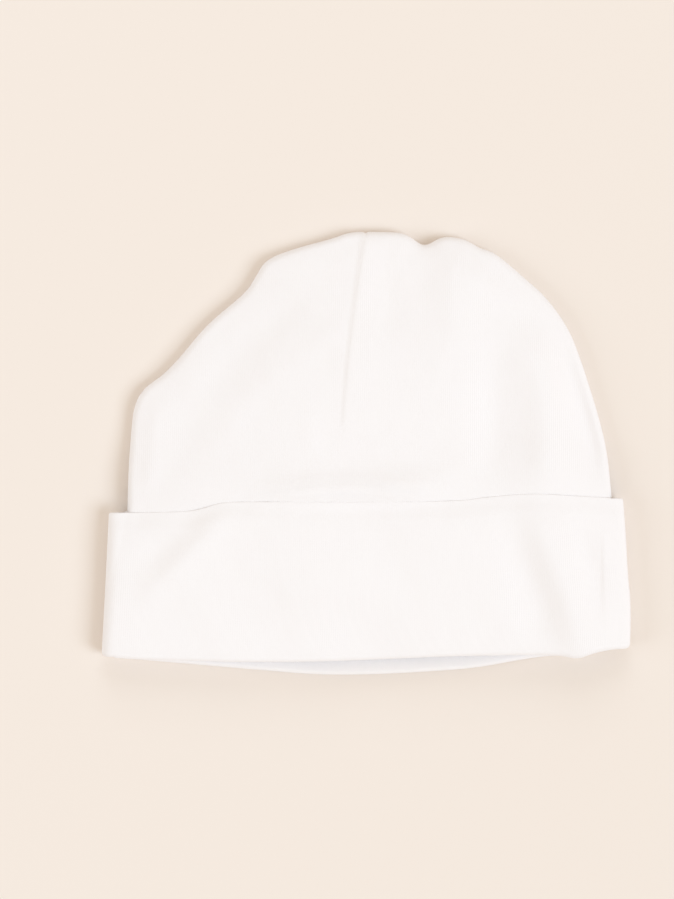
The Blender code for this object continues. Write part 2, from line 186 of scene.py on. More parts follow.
BACK_DROPS = [
    Drop(-1.00, 0.00),
    Drop(-0.72, 0.22),
    Drop(-0.38, 0.60),
    Drop(-0.18, 0.92),
    Drop(0.04, 1.00),
    Drop(0.26, 0.98),
    Drop(0.42, 0.85),
    Drop(0.60, 0.35),
    Drop(0.76, 0.02),
    Drop(1.00, 0.00),
]
print("the back hangs lower by up to, mm:", round(1000 * BACK_DROP, 1))

# %% Helpers that read a table as a smooth line
CORNER_CUTS = 3


def smooth_step(value):
    """0 below 0, 1 above 1, and 3v^2 - 2v^3 between them."""
    value = np.clip(value, 0.0, 1.0)
    return value * value * (3 - 2 * value)


def between(low, high, share):
    """The value that lies this share of the way from low to high."""
    return low + (high - low) * share


def cut_corners(points):
    """Rounds a polyline: each corner gives way to points at 1/4 and 3/4 of its two sides."""
    points = np.array(points, float)
    for _ in range(CORNER_CUTS):
        quarters = between(points[:-1], points[1:], 0.25)
        three_quarters = between(points[:-1], points[1:], 0.75)
        middle = np.stack([quarters, three_quarters], axis=1).reshape(-1, 2)
        points = np.vstack([points[:1], middle, points[-1:]])
    return points


def scaled(rows, first_scale, second_scale, first_start=0.0):
    """A table of two columns as a rounded line in metres."""
    return cut_corners(rows) * (first_scale, second_scale) + (first_start, 0.0)


def read(line, value):
    """Second column of a line where its first column has this value."""
    return np.interp(value, line[:, 0], line[:, 1])


def running_length(points):
    """Length along a line from its first point to each of its points."""
    return np.concatenate([[0.0], np.cumsum(np.linalg.norm(np.diff(points, axis=0), axis=1))])


def at_length(points, wanted):
    """Points of a line at these lengths along it."""
    lengths = running_length(points)
    return np.stack([np.interp(wanted, lengths, points[:, k]) for k in (0, 1)], axis=-1)


left_side = scaled(CROWN_LEFT, CROWN_RISE, HALF_WIDTH, CUFF_HEIGHT)
right_side = scaled(CROWN_RIGHT, CROWN_RISE, HALF_WIDTH, CUFF_HEIGHT)
cuff_left_side = scaled(CUFF_LEFT, CUFF_HEIGHT, HALF_WIDTH)
cuff_right_side = scaled(CUFF_RIGHT, CUFF_HEIGHT, HALF_WIDTH)
front_top = scaled(CUFF_TOP_FRONT, 1.0, CUFF_HEIGHT)
back_top = scaled(CUFF_TOP_BACK, 1.0, CUFF_HEIGHT)
front_bottom = scaled(CUFF_BOTTOM_FRONT, 1.0, CUFF_HEIGHT)
back_fall = scaled(BACK_DROPS, 1.0, BACK_DROP)
print("points on the crown's left side:", len(left_side))

# %% [markdown]
# The crown's own outline runs up inside the cuff, along the left side, over the top and down the
# right side. It is sampled evenly, and the two dents are taken out of it as bell curves. Only the
# part near the top is dented, because a bell depends on the place across the cap alone.

# %% The crown's outline
NOTCH_WIDTH = 0.0046
NOTCH_DEPTH = 0.0036
NOTCHED_FROM_TOP = 3 * NOTCH_WIDTH
OUTLINE_STEP = 0.0004
HIDDEN_POINTS = 20
Notch = namedtuple("Notch", "across width depth")
NOTCHES = [
    Notch(0.220, 1.0, 1.0),
    Notch(0.432, 0.7, 0.35),
]


def crown_sides(y):
    """X of the crown's sides at height y: just inside the cuff, then out to its own outline."""
    freed = smooth_step((y - JOIN_HEIGHT) / (CUFF_HEIGHT - JOIN_HEIGHT))
    left = between(read(cuff_left_side, y) + CROWN_INSET, read(left_side, y), freed)
    right = between(read(cuff_right_side, y) - CROWN_INSET, read(right_side, y), freed)
    return left, right


def crown_outline():
    """The outline as points OUTLINE_STEP apart, dented by a bell curve at each notch."""
    foot = JOIN_HEIGHT + JOIN_GAP
    hidden = np.linspace(foot, CUFF_HEIGHT, HIDDEN_POINTS, endpoint=False)
    inside_left, inside_right = crown_sides(hidden)
    left = np.vstack([np.stack([inside_left, hidden], axis=1), left_side[:, ::-1]])
    right = np.vstack([np.stack([inside_right, hidden], axis=1), right_side[:-1, ::-1]])
    line = np.vstack([left, right[::-1]])
    total = running_length(line)[-1]
    line = at_length(line, np.linspace(0.0, total, int(total / OUTLINE_STEP)))
    near_top = smooth_step(1 - (CROWN_HEIGHT - line[:, 1]) / NOTCHED_FROM_TOP)
    for notch in NOTCHES:
        away = (line[:, 0] - notch.across * HALF_WIDTH) / (notch.width * NOTCH_WIDTH)
        line[:, 1] -= notch.depth * NOTCH_DEPTH * np.exp(-away * away) * near_top
    return line


outline = crown_outline()
print("outline, mm:", round(1000 * running_length(outline)[-1], 1), "in", len(outline), "points")

# %% [markdown]
# ## Height of the cloth
# Seen from above, the front layer is a height over each place of the table. It rises from the
# folded edge like a shallow pillow, and soft ridges and valleys run over it where the cap was
# smoothed down. Each fold is a short curve with a width and a height. The height falls off to
# both sides as a bell, and fades out towards the curve's ends. A curve's points are shares of the
# cap's half width and of the piece's height, and a negative height is a valley.

# %% Tables of the folds
FOLD_WIDTH = 0.0060
FOLD_HEIGHT = 0.0011
Fold = namedtuple("Fold", "line width height")
CROWN_FOLDS = [
    Fold([(-0.11, 0.85), (-0.31, 0.70), (-0.50, 0.53), (-0.70, 0.23), (-0.79, 0.00)], 1.0, -0.65),
    Fold([(0.03, 0.70), (-0.24, 0.55), (-0.45, 0.37), (-0.63, 0.08)], 0.7, 0.25),
    Fold([(-0.79, 0.39), (-0.80, 0.21), (-0.82, 0.00)], 0.5, 0.5),
    Fold([(-0.48, 0.03), (-0.01, 0.04), (0.24, 0.05), (0.39, 0.13)], 0.65, 2.1),
    Fold([(-0.38, 0.16), (-0.01, 0.16), (0.27, 0.21)], 1.0, -0.15),
    Fold([(0.46, 0.62), (0.47, 0.32), (0.46, -0.01)], 1.0, -1.7),
    Fold([(0.55, 0.67), (0.64, 0.54), (0.69, 0.37), (0.68, 0.18), (0.66, -0.04)], 1.2, 3.0),
    Fold([(0.71, 0.65), (0.81, 0.40), (0.86, 0.18), (0.88, -0.01)], 0.7, -1.4),
    Fold([(0.06, 0.99), (0.07, 0.78), (0.06, 0.58)], 1.0, -0.7),
    Fold([(0.33, 0.95), (0.35, 0.76), (0.32, 0.56)], 1.6, 1.4),
    Fold([(0.27, 0.88), (0.45, 0.81), (0.63, 0.69)], 0.6, 0.5),
    Fold([(-0.24, 0.34), (-0.22, 0.26), (-0.18, 0.17)], 0.5, 0.3),
]
CUFF_FOLDS = [
    Fold([(-0.48, 0.99), (-0.62, 0.72), (-0.80, 0.43), (-0.91, 0.34)], 0.8, 1.1),
    Fold([(-0.62, 0.98), (-0.76, 0.72), (-0.89, 0.53)], 0.7, -0.4),
    Fold([(0.59, 1.09), (0.66, 0.79), (0.75, 0.46), (0.80, 0.17), (0.90, -0.20)], 1.5, 3.0),
    Fold([(0.52, 1.05), (0.58, 0.69), (0.65, 0.36), (0.70, 0.01)], 1.2, -1.6),
    Fold([(0.78, 0.95), (0.85, 0.55), (0.88, 0.20)], 0.8, -1.4),
    Fold([(-0.34, 0.46), (-0.13, 0.49), (0.09, 0.46)], 1.8, 1.5),
    Fold([(0.10, 0.69), (0.20, 0.55), (0.30, 0.41)], 0.6, 0.25),
]
print("folds on the crown and the cuff:", len(CROWN_FOLDS), len(CUFF_FOLDS))

# %% Folds and waves
FADE = 0.30
BELLS_A_WIDTH = 3
Waves = namedtuple("Waves", "length lean spread height seed")
SOFT_WAVES = Waves(0.032, 0.9, 0.9, 0.00018, 3)
SMALL_WAVES = Waves(0.012, 1.2, 1.4, 0.00004, 8)
WAVE_COUNT = 14
SHORTEST_WAVE, LONGEST_WAVE = 0.7, 1.5


def fold_height(fold, rise, start_height, x, y):
    """One fold's height: bells strung along its curve so closely that they run into one ridge.

    Far from the ends the sum is height * exp(-(distance / width)^2), and it fades at the ends.
    """
    curve = cut_corners(fold.line)
    curve = curve * (HALF_WIDTH, rise) + (0.0, start_height)
    width = fold.width * FOLD_WIDTH
    total = running_length(curve)[-1]
    count = int(math.ceil(BELLS_A_WIDTH * total / width))
    shares = (np.arange(count) + 0.5) / count
    sizes = smooth_step(shares / FADE) * smooth_step((1 - shares) / FADE)
    height = np.zeros(np.shape(x))
    for (middle_x, middle_y), size in zip(at_length(curve, shares * total), sizes):
        height += size * np.exp(-((x - middle_x) ** 2 + (y - middle_y) ** 2) / width**2)
    return fold.height * FOLD_HEIGHT * height * total / count / (width * math.sqrt(math.pi))


def waves(kind, x, y):
    """Sum of plane waves whose lengths and directions are drawn round the kind's own."""
    draw = np.random.default_rng(kind.seed)
    total = np.zeros(np.shape(x))
    for _ in range(WAVE_COUNT):
        length = kind.length * draw.uniform(SHORTEST_WAVE, LONGEST_WAVE)
        lean = kind.lean + kind.spread * draw.uniform(-1.0, 1.0)
        phase = draw.uniform(0.0, 2 * math.pi)
        across = x * math.cos(lean) + y * math.sin(lean)
        total += np.sin(2 * math.pi * across / length + phase)
    return kind.height * total / math.sqrt(WAVE_COUNT / 2)


# %% [markdown]
# The pillow rises with the distance from the outline. Its loft is low at the mouth, where the
# cloth lies almost closed, and highest in the crown, past the free edge of the cuff.

# %% The front layer's height
PILLOW_POWER = 2.0
MOUTH_LOFT = 0.25
MOUTH_RISE = 0.046
RIM_SKIP = 4


def line_distance(line, x, y):
    """Distance from each (x, y) to a polyline: the least of the distances to its stretches."""
    best = np.full(np.shape(x), np.inf)
    for start, end in zip(line[:-1], line[1:]):
        step = end - start
        along = ((x - start[0]) * step[0] + (y - start[1]) * step[1]) / (step @ step)
        along = np.clip(along, 0.0, 1.0)
        away = np.hypot(x - start[0] - along * step[0], y - start[1] - along * step[1])
        best = np.minimum(best, away)
    return best


def edge_distance(x, y):
    """Distance in from the crown's sides and top, 0 outside. The sides go on far below the foot."""
    left, right = crown_sides(y)
    foot = np.array([[outline[0, 0], -CUFF_HEIGHT], [outline[-1, 0], -CUFF_HEIGHT]])
    line = np.vstack([foot[:1], outline[::RIM_SKIP], foot[1:]])
    return np.where((x > left) & (x < right), line_distance(line, x, y), 0.0)


def front_loft(x, y):
    """Height of the front layer above closely folded cloth: a pillow, folds and waves."""
    distance = edge_distance(x, y)
    spread = 1 - np.clip(distance / LOFT_REACH, 0.0, 1.0)
    above_cuff = smooth_step((y - SETTLE_FROM) / (2 * SETTLE_LENGTH))
    above_mouth = smooth_step(y / MOUTH_RISE)
    pillow = between(CUFF_LOFT, CROWN_LOFT, above_cuff) * between(MOUTH_LOFT, 1.0, above_mouth)
    pillow = pillow * (1 - spread**PILLOW_POWER)
    relief = waves(SOFT_WAVES, x, y) + waves(SMALL_WAVES, x, y)
    for fold in CROWN_FOLDS:
        relief = relief + fold_height(fold, CROWN_RISE, CUFF_HEIGHT, x, y)
    for fold in CUFF_FOLDS:
        relief = relief + fold_height(fold, CUFF_HEIGHT, 0.0, x, y)
    return pillow + relief * smooth_step(distance / (2 * EDGE_RADIUS))


def crown_middle(y):
    """Height of the crown's folded sides, which sink to the table past the cuff."""
    return between(CUFF_RADIUS, EDGE_RADIUS, smooth_step((y - SETTLE_FROM) / SETTLE_LENGTH))


middle_rise = front_loft(np.zeros(2), np.array([0.0, CUFF_HEIGHT]))
print("loft at the mouth and at the cuff's top, mm:", (1000 * middle_rise).round(1).tolist())

# %% [markdown]
# ## The dart
# A dart takes in the fullness of the flat cloth: a wedge is folded away inside and stitched, and
# the fold is pressed to one side. From outside it is a fine line that starts at the top edge, bows
# a little and runs out to nothing. On its left the cloth rises to the line in a short ramp, which
# light from the right leaves in shade. Right of the line it falls away slowly over the pressed
# wedge. The stitches sink into a fine groove and draw in small puckers. All of this is a height
# that depends on the distance across the line and the length along it.

# %% The dart's line
DART_LENGTH = 0.0680
DART_LEAN = 0.0079
DART_BOW = 0.0007
DART_STRAIGHT = 0.0075
dart_top = np.array([0.0, CROWN_HEIGHT])
dart_end = np.array([-DART_LEAN, CROWN_HEIGHT - DART_LENGTH])
dart_reach = np.linalg.norm(dart_top - dart_end)
dart_along = (dart_top - dart_end) / dart_reach
dart_across = np.array([dart_along[1], -dart_along[0]])
print("dart, mm:", round(1000 * dart_reach, 1))


def dart_bow(run):
    """How far the line bows to the left, as 4 * bow * t * (1 - t). It ends straight at the rim."""
    share = np.clip(run / (dart_reach - DART_STRAIGHT), 0.0, 1.0)
    return 4 * DART_BOW * share * (1 - share)


def dart_place(x, y):
    """Length along the dart from its lower end, and distance to the right of its bowed line."""
    run = (x - dart_end[0]) * dart_along[0] + (y - dart_end[1]) * dart_along[1]
    side = (x - dart_end[0]) * dart_across[0] + (y - dart_end[1]) * dart_across[1]
    return run, side + dart_bow(run)


# %% The dart's relief
DART_GROOVE = 0.00010
BACK_DART_GROOVE = 0.00035
DART_GROOVE_WIDTH = 0.00050
DART_GROOVE_END = 0.5
DART_START = 0.0030
DART_RUN_OUT = 0.0060
WEDGE_SLOPE = 0.32
WEDGE_FLANK_TOP = 0.0027
WEDGE_FLANK_END = 0.0012
WEDGE_FALL = 0.0110
PUCKER_STEP = 0.0037
PUCKER_HEIGHT = 0.00004
PUCKER_REACH = 0.0026


def pressed_seam(side, flank, fall):
    """Height over a seam's folded cloth: a squared ramp up to its line, then a slow fall."""
    ramp = np.clip(1 + side / flank, 0.0, 1.0) ** 2
    return ramp * (1 - smooth_step(side / fall))


def dart_groove(run, side, depth):
    """The stitched line itself: a bell-shaped groove that is half as deep at its lower end."""
    size = between(DART_GROOVE_END, 1.0, smooth_step(run / DART_RUN_OUT))
    size = size * smooth_step(run / DART_START)
    return -depth * size * np.exp(-((side / DART_GROOVE_WIDTH) ** 2))


def dart_relief(x, y):
    """The groove on the line, the pressed wedge that ends there, and waves along it."""
    run, side = dart_place(x, y)
    size = smooth_step(run / DART_RUN_OUT) * smooth_step(run / DART_START)
    flank = between(WEDGE_FLANK_END, WEDGE_FLANK_TOP, np.clip(run / dart_reach, 0.0, 1.0))
    wedge = WEDGE_SLOPE * flank * pressed_seam(side, flank, WEDGE_FALL)
    pucker = PUCKER_HEIGHT * np.sin(2 * math.pi * run / PUCKER_STEP)
    pucker = pucker * np.exp(-((side / PUCKER_REACH) ** 2))
    return dart_groove(run, side, DART_GROOVE) + size * (wedge + pucker)


print("wedge's height at the top, mm:", round(1000 * WEDGE_SLOPE * WEDGE_FLANK_TOP, 2))

# %% [markdown]
# ## The crown as a surface
# A grid that shrinks to a point at the top of a dome gives thin, pinched faces there. The crown
# is laid out like a window instead: a strip of rows follows the folded edge, and inside it two
# patches meet along the dart. Each patch is stretched between its four border lines, which is
# called transfinite interpolation. So the dart is a line of the grid, and the columns crowd
# towards it where the detail is finest. The rows crowd towards the cuff's free edge, where the
# crown comes out in a soft roll: half of their spacing is even and half of it grows as a square.

# %% Layout of the crown's grid
SIDE_HIDDEN_ROWS = 14
SIDE_ROWS = 88
TOP_COLUMNS = 84
ROWS_FROM = CUFF_HEIGHT - 0.0040
LEFT_CORNER_HEIGHT = 0.0870
RIGHT_CORNER_HEIGHT = 0.1000
EVEN_SHARE = 0.5
FIRST_COLUMN = 0.00022
HALVINGS = 60


def crowded(count, total, first):
    """Shares 0..1 whose first step is short: a geometric run whose ratio is found by halving."""
    low, high = 1.0, 2.0
    for _ in range(HALVINGS):
        ratio = (low + high) / 2
        reach = first * np.sum(ratio ** np.arange(count))
        low, high = (ratio, high) if reach < total else (low, ratio)
    steps = first * ratio ** np.arange(count)
    return np.concatenate([[0.0], np.cumsum(steps)]) / np.sum(steps)


def rim_lengths():
    """Lengths along the outline at which the grid's rows and columns start, in four runs."""
    lengths = running_length(outline)
    apex = int(np.argmin(np.abs(outline[:, 0]) - outline[:, 1]))
    left, right = slice(0, apex), slice(apex, len(outline))
    corner_left = np.interp(LEFT_CORNER_HEIGHT, outline[left, 1], lengths[left])
    corner_right = np.interp(RIGHT_CORNER_HEIGHT, outline[right, 1][::-1], lengths[right][::-1])
    cuff_left = np.interp(ROWS_FROM, outline[left, 1], lengths[left])
    cuff_right = np.interp(ROWS_FROM, outline[right, 1][::-1], lengths[right][::-1])
    apex_length = lengths[apex]
    near_dart = crowded(TOP_COLUMNS, corner_right - apex_length, FIRST_COLUMN)
    top_left = apex_length - (apex_length - corner_left) * near_dart[::-1]
    top_right = between(apex_length, corner_right, near_dart)
    rows = np.linspace(0.0, 1.0, SIDE_ROWS)
    rows = EVEN_SHARE * rows + (1 - EVEN_SHARE) * rows**2
    side_left = np.linspace(0.0, cuff_left, SIDE_HIDDEN_ROWS, endpoint=False)
    side_left = np.concatenate([side_left, between(cuff_left, corner_left, rows)])
    side_right = between(corner_right, cuff_right, 1 - rows[::-1])
    foot_right = np.linspace(cuff_right, lengths[-1], SIDE_HIDDEN_ROWS + 1)
    side_right = np.concatenate([side_right, foot_right[1:]])
    return side_left, top_left, top_right, side_right


side_left, top_left, top_right, side_right = rim_lengths()
rim_run = np.concatenate([side_left, top_left[1:], top_right[1:], side_right[1:]])
left_corner = len(side_left) - 1
apex_column = left_corner + TOP_COLUMNS
right_corner = apex_column + TOP_COLUMNS
print("rim columns:", len(rim_run), "rows in a patch:", len(side_left))

# %% [markdown]
# The strip runs inwards from the outline, square to it. At the small dents these directions would
# cross each other, so they are worked out from a smoothed outline and are smoothed once more.

# %% Directions into the crown
STRIP_WIDTH = 0.0046
RIM_SMOOTHING = 0.0024
INNER_SMOOTHING = 0.0060


def smoothed(values, reach):
    """Moving average of evenly spaced outline values over this length, with steady ends."""
    half = int(reach / OUTLINE_STEP)
    window = np.hanning(2 * half + 1)
    window = window / window.sum()
    first = 2 * values[:1] - values[half:0:-1]
    last = 2 * values[-1:] - values[-2 : -half - 2 : -1]
    padded = np.vstack([first, values, last])
    return np.stack([np.convolve(padded[:, k], window, "valid") for k in (0, 1)], axis=1)


def inward(points):
    """Unit directions square to a line, to its right: into the crown."""
    direction = np.gradient(points, axis=0)
    direction = direction / np.linalg.norm(direction, axis=1, keepdims=True)
    return np.stack([direction[:, 1], -direction[:, 0]], axis=1)


rim_inward = smoothed(inward(smoothed(outline, RIM_SMOOTHING)), RIM_SMOOTHING)
rim_inward = rim_inward / np.linalg.norm(rim_inward, axis=1, keepdims=True)
rim_inward[0], rim_inward[-1] = (1.0, 0.0), (-1.0, 0.0)
inner_line = smoothed(outline, INNER_SMOOTHING) + rim_inward * (EDGE_RADIUS + STRIP_WIDTH)
inner_line[0, 1], inner_line[-1, 1] = outline[0, 1], outline[-1, 1]
lengths = running_length(outline)


def on_rim(values):
    """Values of the evenly spaced outline read at the grid's own columns."""
    return np.stack([np.interp(rim_run, lengths, values[:, k]) for k in (0, 1)], axis=1)


rim_points, rim_in, rim_inner = on_rim(outline), on_rim(rim_inward), on_rim(inner_line)
print("inner line, mm:", round(1000 * running_length(rim_inner)[-1], 1))

# %% [markdown]
# The strip itself goes round the fold as a quarter circle and then flat inwards. Where the dart
# meets the edge, its stitches pull the fold in by a small dent, which is half gone at the flat.

# %% The strip along the folded edge
ROUND_STEPS = 6
STRIP_STEPS = 4
DART_DENT = 0.00045
DART_DENT_WIDTH = 0.0006
DENT_LOSS = 0.5
dart_away = (rim_run - rim_run[apex_column]) / DART_DENT_WIDTH
rim_dent = DART_DENT * np.exp(-dart_away * dart_away)
angles = np.linspace(0.0, math.pi / 2, ROUND_STEPS + 1)
round_inwards = EDGE_RADIUS * (1 - np.cos(angles))
strip_shares = np.linspace(0.0, 1.0, STRIP_STEPS + 1)[1:]

rim_dent = rim_dent * (1 - DENT_LOSS * round_inwards[:, None] / EDGE_RADIUS)
strip_round = rim_points + round_inwards[:, None, None] * rim_in + rim_dent[..., None] * rim_in
strip_flat = between(strip_round[-1:], rim_inner[None], strip_shares[:, None, None])
strip_plan = np.vstack([strip_round, strip_flat])
print("strip grid:", strip_plan.shape)

# %% [markdown]
# Each patch has four borders: the foot, the strip's inner line at its side and at its top, and the
# dart's line, which goes on straight down to the foot. The sides have as many rows as the dart.

# %% The two patches that meet at the dart
def patch(bottom, top, left, right, across, up):
    """Transfinite interpolation: ruled both ways between the borders, less the corners' bilinear."""
    s, t = across[None, :, None], up[:, None, None]
    ruled = between(left[:, None], right[:, None], s) + between(bottom[None], top[None], t)
    corners_low = between(bottom[:1], bottom[-1:], across[:, None])[None]
    corners_high = between(top[:1], top[-1:], across[:, None])[None]
    return ruled - between(corners_low, corners_high, t)


def crown_patches():
    """Plan of both patches, left and right of the dart's line and its run down to the foot."""
    left_border = rim_inner[: left_corner + 1]
    right_border = rim_inner[right_corner:][::-1]
    top_border = rim_inner[left_corner : right_corner + 1]
    up = (side_left - side_left[0]) / (side_left[-1] - side_left[0])
    apex = rim_inner[apex_column]
    middle_foot = np.array([dart_end[0], rim_inner[0, 1]])
    seam = np.array([middle_foot, dart_end, apex])
    seam = at_length(seam, up * running_length(seam)[-1])
    seam = seam - dart_bow((seam - dart_end) @ dart_along)[:, None] * dart_across
    left_across = (top_left - top_left[0]) / (top_left[-1] - top_left[0])
    right_across = (top_right - top_right[0]) / (top_right[-1] - top_right[0])
    left_foot = between(rim_inner[:1], middle_foot[None], left_across[:, None])
    right_foot = between(middle_foot[None], rim_inner[-1:], right_across[:, None])
    left = patch(left_foot, top_border[: TOP_COLUMNS + 1], left_border, seam, left_across, up)
    right = patch(right_foot, top_border[TOP_COLUMNS:], seam, right_border, right_across, up)
    return left, right


left_plan, right_plan = crown_patches()
print("patch grids:", left_plan.shape, right_plan.shape)

# %% [markdown]
# The plan becomes two layers of cloth, the front above the folded edge and the back below it. The
# front adds the loft, the folds and the dart. Under the cuff it is tucked in a little, and just
# past the cuff's free edge it swells, because nothing presses on it there. The back lies flat on
# the table and shows only its own dart's groove.

# %% Heights of the crown's two layers
EMERGE_GAP = 0.0010
EMERGE_LENGTH = 0.0060
SWELL_HEIGHT = 0.00042
SWELL_START = 0.0003
SWELL_RISE = 0.0014
SWELL_FALL = 0.0120


def crown_layer(plan, half_thick, side):
    """Points of the front (side 1) or the back (side -1) over a plan, as the sum of their heights.

    Past the cuff the swell is height * (1 - exp(-distance / rise)) * exp(-distance / fall).
    """
    x, y = plan[..., 0], plan[..., 1]
    distance = edge_distance(x, y)
    past_edge = smooth_step(distance / (2 * EDGE_RADIUS))
    z = crown_middle(y) + side * half_thick
    if side > 0:
        below_edge = read(front_top, x / HALF_WIDTH) - y
        tuck = CROWN_TUCK * smooth_step((below_edge - EMERGE_GAP) / EMERGE_LENGTH)
        past_cuff = np.maximum(SWELL_START - below_edge, 0.0)
        swell = SWELL_HEIGHT * (1 - np.exp(-past_cuff / SWELL_RISE)) * np.exp(-past_cuff / SWELL_FALL)
        z = z + front_loft(x, y) + (swell - tuck) * past_edge
        z = z + dart_relief(x, y) * past_edge
    else:
        z = z - dart_groove(*dart_place(x, y), BACK_DART_GROOVE) * past_edge
    return np.stack([x, y, z], axis=-1)


def cloth_coordinates(plan, inwards, direction):
    """Places on the flat cloth: the plan, moved out at the rim by the length lost in the bend."""
    angle = np.arccos(np.clip(1 - inwards / EDGE_RADIUS, -1.0, 1.0))
    lost = EDGE_RADIUS * (math.pi / 2 - angle) - (EDGE_RADIUS - inwards)
    lost = np.where(inwards < EDGE_RADIUS, lost, 0.0)
    return plan - lost[..., None] * direction


strip_half = np.concatenate([EDGE_RADIUS * np.sin(angles), np.full(STRIP_STEPS, EDGE_RADIUS)])
strip_in = np.concatenate([round_inwards, np.full(STRIP_STEPS, EDGE_RADIUS)])
strip_in = np.broadcast_to(strip_in[:, None], strip_plan.shape[:2])
strip_cloth = cloth_coordinates(strip_plan, strip_in, rim_in[None])
crown_grids = []
for side in (1, -1):
    crown_grids.append((crown_layer(strip_plan, strip_half[:, None], side), strip_cloth))
    for plan in (left_plan, right_plan):
        crown_grids.append((crown_layer(plan, EDGE_RADIUS, side), plan))
print("crown's outer quads:", sum((g.shape[0] - 1) * (g.shape[1] - 1) for g, _ in crown_grids))

# %% [markdown]
# ## From grids to a sewn piece
# Each grid gives its own faces. The grids are put into one mesh, points that lie in one place are
# merged, and the normals are turned outwards once, before the wall gets its thickness. The places
# on the flat cloth go into a UV map in metres, so that the knit has the same size everywhere.

# %% Helpers that make a piece
SAME_PLACE = 0.00001


def grid_faces(rows, columns, first):
    """Corner numbers of every quad of a grid whose first point has this number."""
    corner = first + np.arange(rows - 1)[:, None] * columns + np.arange(columns - 1)[None]
    corners = [corner, corner + columns, corner + columns + 1, corner + 1]
    return np.stack(corners, axis=-1).reshape(-1, 4)


def piece_from_grids(name, grids):
    """One merged mesh object of several grids of points, each with its cloth coordinates."""
    points, flat, faces, first = [], [], [], 0
    for grid, cloth in grids:
        rows, columns = grid.shape[:2]
        points.append(grid.reshape(-1, 3) + (MIDDLE_X, FOLD_LINE_Y, 0.0))
        flat.append(cloth.reshape(-1, 2))
        faces.append(grid_faces(rows, columns, first))
        first += rows * columns
    points, flat, faces = np.vstack(points), np.vstack(flat), np.vstack(faces)
    mesh = bpy.data.meshes.new(name)
    mesh.from_pydata(points.tolist(), [], faces.tolist())
    uv = mesh.uv_layers.new(name="cloth")
    uv.data.foreach_set("uv", flat[faces.ravel()].astype(np.float32).ravel())
    work = bmesh.new()
    work.from_mesh(mesh)
    bmesh.ops.remove_doubles(work, verts=work.verts, dist=SAME_PLACE)
    bmesh.ops.recalc_face_normals(work, faces=work.faces)
    work.to_mesh(mesh)
    work.free()
    mesh.shade_smooth()
    piece = bpy.data.objects.new(name, mesh)
    bpy.context.scene.collection.objects.link(piece)
    return piece


def add_wall(piece, thickness):
    """Gives an open shell its cloth, inwards from its outer face."""
    wall = piece.modifiers.new("cloth", "SOLIDIFY")
    wall.thickness = thickness
    wall.offset = -1.0
    wall.use_even_offset = False


def report_piece(piece):
    """Prints a finished piece's triangles and its volume, which is positive if it faces out."""
    graph = bpy.context.evaluated_depsgraph_get()
    work = bmesh.new()
    work.from_object(piece, graph)
    bmesh.ops.triangulate(work, faces=work.faces)
    loose = sum(1 for edge in work.edges if not edge.is_manifold)
    volume = work.calc_volume(signed=True) * 1e9
    print(piece.name, "triangles", len(work.faces), "open edges", loose, "mm3", round(volume))
    work.free()


crown = piece_from_grids("jersey_crown", crown_grids)
add_wall(crown, CROWN_CLOTH)
report_piece(crown)

# %% [markdown]
# ## The cuff as a surface
# The band is doubled, so its free edge is a fold and not a raw edge. Its section is one closed
# line: down the hidden face from the join, round the fold at the bottom and up to the free edge,
# then back down the outside, round the same fold and up to the join. This line is carried round
# the cap, from the side seam round the right side, along the back, round the left side and over
# the front. Each place round the loop knows how high the cuff's edges lie there.

# %% Section of the doubled band
HALF_CLOTH = CUFF_CLOTH / 2
NOSE_STEPS = 6
OUTER_STEPS = 74
TURN_STEPS = 12
INSIDE_STEPS = 12
RETURN_STEPS = 34
# A point of the section: shares of the free edge's, the bottom fold's and the join's heights,
# then its own distance up and in from the outer face.
SECTION_COLUMNS = 5


def straight(start, end, count):
    """Evenly spaced section points from start to end, without end itself."""
    share = np.linspace(0.0, 1.0, count, endpoint=False)[:, None]
    return between(np.array([start]), np.array([end]), share)


def arc(anchor, radius, inset, start, end, count):
    """Section points on a circle round (height 0, inset), from angle start to end, without end."""
    angle = np.linspace(start, end, count, endpoint=False)
    places = np.zeros((count, SECTION_COLUMNS))
    places[:, anchor] = 1.0
    places[:, 3] = radius * np.sin(angle)
    places[:, 4] = inset - radius * np.cos(angle)
    return places


def band_section():
    """The closed section, from the join's inner corner round to itself."""
    inside = 2 * TURN_RADIUS
    inner_radius = TURN_RADIUS - CUFF_CLOTH
    return np.vstack([
        straight((0, 0, 1, 0, inside - CUFF_CLOTH), (0, 1, 0, 0, inside - CUFF_CLOTH), INSIDE_STEPS),
        arc(1, inner_radius, TURN_RADIUS, -math.pi, -2 * math.pi, TURN_STEPS // 2),
        straight((0, 1, 0, 0, CUFF_CLOTH), (1, 0, 0, 0, CUFF_CLOTH), RETURN_STEPS),
        arc(0, HALF_CLOTH, HALF_CLOTH, math.pi, 0.0, NOSE_STEPS),
        straight((1, 0, 0, 0, 0), (0, 1, 0, 0, 0), OUTER_STEPS),
        arc(1, TURN_RADIUS, TURN_RADIUS, 0.0, -math.pi, TURN_STEPS),
        straight((0, 1, 0, 0, inside), (0, 0, 1, 0, inside), INSIDE_STEPS),
        arc(2, HALF_CLOTH, inside - HALF_CLOTH, math.pi, 0.0, NOSE_STEPS),
        [(0, 0, 1, 0, inside - CUFF_CLOTH)],
    ])


section = band_section()
print("points in the band's section:", len(section))

# %% [markdown]
# Round the loop the columns are evenly spaced on the flat front and back, turn with the cloth at
# both sides, and crowd towards the side seam, whose groove is finer than an even column.

# %% Places round the cuff
FRONT_COLUMNS = 236
BACK_COLUMNS = 128
BEND_COLUMNS = 10
CUFF_SEAM_INSET = 0.0089
SEAM_COLUMN = 0.00020
SEAM_COLUMNS = 10
SEAM_ZONE = 0.0042
seam_across = 1 - CUFF_SEAM_INSET / HALF_WIDTH
flat_across = 1 - CUFF_RADIUS / HALF_WIDTH


